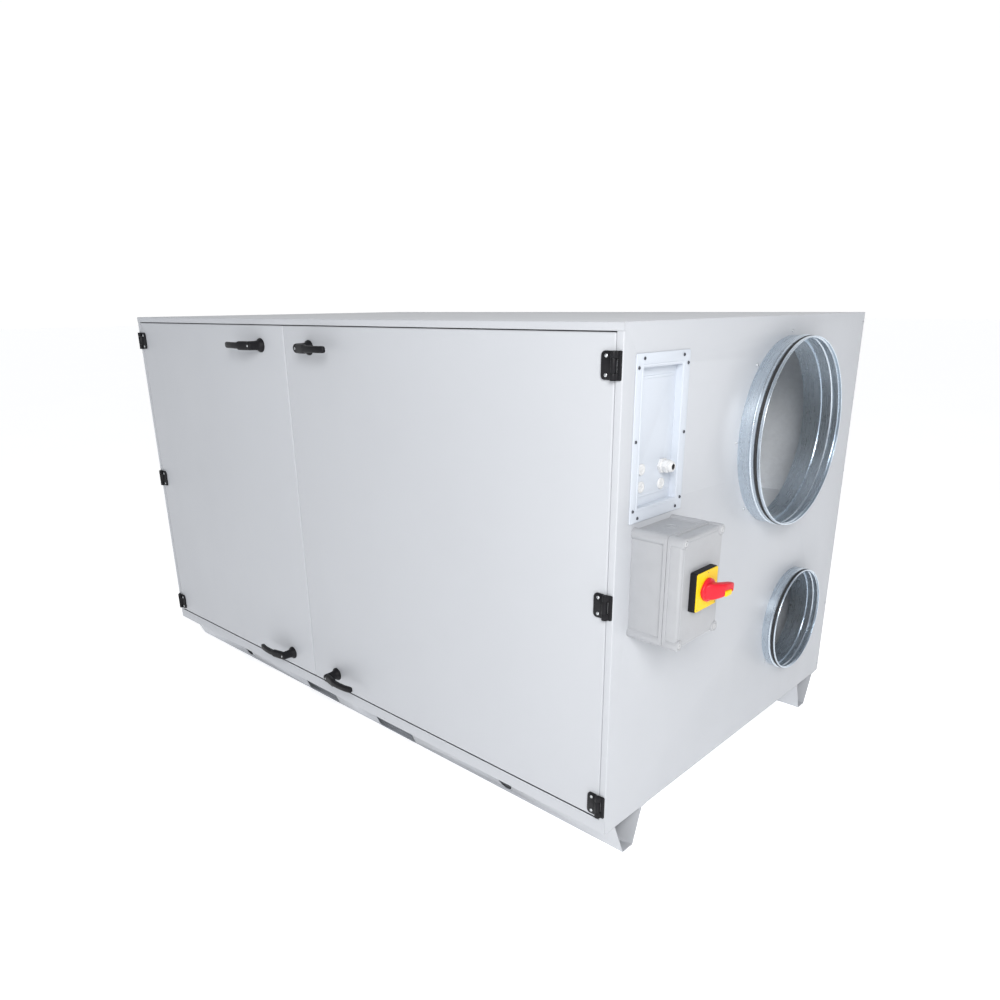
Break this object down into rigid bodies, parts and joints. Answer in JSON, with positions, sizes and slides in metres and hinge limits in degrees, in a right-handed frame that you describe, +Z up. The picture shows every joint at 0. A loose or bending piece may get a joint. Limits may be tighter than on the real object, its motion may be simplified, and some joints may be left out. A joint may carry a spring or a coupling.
{
  "type": "heat recovery unit",
  "caption": "Insulated two-door ventilation casing on base rails with large and small round duct spigots at each end, plate heat exchanger inside and a rotary isolating switch.",
  "frame": {"origin": "middle of the underside of the whole outline, on the floor below the unit", "axes": "+X along the doors towards the end with the switch, -Y towards the doors' front, +Z up"},
  "size_m": [2.418, 1.317, 1.29],
  "materials": {
    "white_painted_sheet": "light grey-white powder coat, satin",
    "galvanised_sheet": "galvanised, satin with faint spangle",
    "zinc_steel": "zinc plated",
    "black_plastic": "glass-filled nylon, satin",
    "mineral_wool": "rough fibre",
    "rubber": "matt",
    "white_plastic": "satin moulding",
    "grey_enclosure": "semi-gloss moulding",
    "yellow_plastic": "semi-gloss moulding",
    "red_plastic": "semi-gloss moulding",
    "aluminium_plate": "mill finish",
    "filter_media": "pleated synthetic media",
    "dark_casting": "black powder coat"
  },
  "bodies": {
    "casing": {"bottom_panel": "white_painted_sheet", "top_panel": "white_painted_sheet", "back_panel": "white_painted_sheet", "left_end_panel": "white_painted_sheet", "right_end_panel": "white_painted_sheet", "front_frame": "white_painted_sheet", "inner_liner": "galvanised_sheet", "wall_insulation": "mineral_wool", "front_base_rail": "white_painted_sheet", "rear_base_rail": "white_painted_sheet", "door_seals": "rubber", "hinge_frame_leaves": "black_plastic", "hinge_pins": "zinc_steel", "right_intake_spigot": "galvanised_sheet", "right_discharge_spigot": "galvanised_sheet", "left_intake_spigot": "galvanised_sheet", "left_discharge_spigot": "galvanised_sheet", "spigot_seals": "rubber", "casing_screws": "zinc_steel", "access_frame": "white_painted_sheet", "access_plate": "white_painted_sheet", "control_box": "galvanised_sheet", "cable_entries": "white_plastic", "switch_box_base": "grey_enclosure", "switch_box_lid": "grey_enclosure", "switch_box_screws": "white_plastic", "switch_base_plate": "black_plastic", "switch_yellow_plate": "yellow_plastic", "isolator_block": "black_plastic", "air_shelves": "galvanised_sheet", "exchanger_core": "aluminium_plate", "exchanger_frame": "galvanised_sheet", "filter_cassettes": "filter_media", "fan_plates": "galvanised_sheet", "fan_motors": "dark_casting", "condensate_tray": "galvanised_sheet"},
    "left_door": {"left_door_skin": "white_painted_sheet", "left_door_core": "mineral_wool", "left_door_liner": "galvanised_sheet", "left_hinge_door_leaves": "black_plastic", "left_hinge_screws": "zinc_steel", "left_handle_collars": "black_plastic"},
    "right_door": {"right_door_skin": "white_painted_sheet", "right_door_core": "mineral_wool", "right_door_liner": "galvanised_sheet", "right_hinge_door_leaves": "black_plastic", "right_hinge_screws": "zinc_steel", "right_handle_collars": "black_plastic"},
    "left_top_handle": {"left_top_lever": "black_plastic", "left_top_cam": "zinc_steel"},
    "left_bottom_handle": {"left_bottom_lever": "black_plastic", "left_bottom_cam": "zinc_steel"},
    "right_top_handle": {"right_top_lever": "black_plastic", "right_top_cam": "zinc_steel"},
    "right_bottom_handle": {"right_bottom_lever": "black_plastic", "right_bottom_cam": "zinc_steel"},
    "switch_handle": {"switch_grip": "red_plastic"},
    "padlock_slide": {"padlock_tab": "yellow_plastic"},
    "supply_fan": {"supply_fan_wheel": "aluminium_plate"},
    "extract_fan": {"extract_fan_wheel": "aluminium_plate"}
  },
  "joints": [
    {"name": "left_door_hinge", "type": "hinge", "parent": "casing", "child": "left_door", "pos_m": [-1.13075, -0.6085, 0.692], "axis": [0, 0, -1], "range_deg": [0, 110]},
    {"name": "right_door_hinge", "type": "hinge", "parent": "casing", "child": "right_door", "pos_m": [1.00775, -0.6085, 0.692], "axis": [0, 0, 1], "range_deg": [0, 110]},
    {"name": "left_top_handle_turn", "type": "hinge", "parent": "left_door", "child": "left_top_handle", "pos_m": [-0.309, -0.6015, 1.212], "axis": [0, -1, 0], "range_deg": [0, 90]},
    {"name": "left_bottom_handle_turn", "type": "hinge", "parent": "left_door", "child": "left_bottom_handle", "pos_m": [-0.309, -0.6015, 0.186], "axis": [0, 1, 0], "range_deg": [0, 90]},
    {"name": "right_top_handle_turn", "type": "hinge", "parent": "right_door", "child": "right_top_handle", "pos_m": [-0.053, -0.6015, 1.212], "axis": [0, 1, 0], "range_deg": [0, 90]},
    {"name": "right_bottom_handle_turn", "type": "hinge", "parent": "right_door", "child": "right_bottom_handle", "pos_m": [-0.053, -0.6015, 0.186], "axis": [0, -1, 0], "range_deg": [0, 90]},
    {"name": "switch_turn", "type": "hinge", "parent": "casing", "child": "switch_handle", "pos_m": [1.173, -0.4605, 0.735], "axis": [1, 0, 0], "range_deg": [0, 90]},
    {"name": "padlock_tab_slide", "type": "slide", "parent": "switch_handle", "child": "padlock_slide", "axis": [0, 0, -1], "range_m": [0, 0.004]},
    {"name": "supply_fan_spin", "type": "hinge", "parent": "casing", "child": "supply_fan", "pos_m": [-0.764, 0.0285, 0.4245], "axis": [1, 0, 0], "continuous": true},
    {"name": "extract_fan_spin", "type": "hinge", "parent": "casing", "child": "extract_fan", "pos_m": [0.641, 0.0285, 0.4245], "axis": [1, 0, 0], "continuous": true}
  ]
}
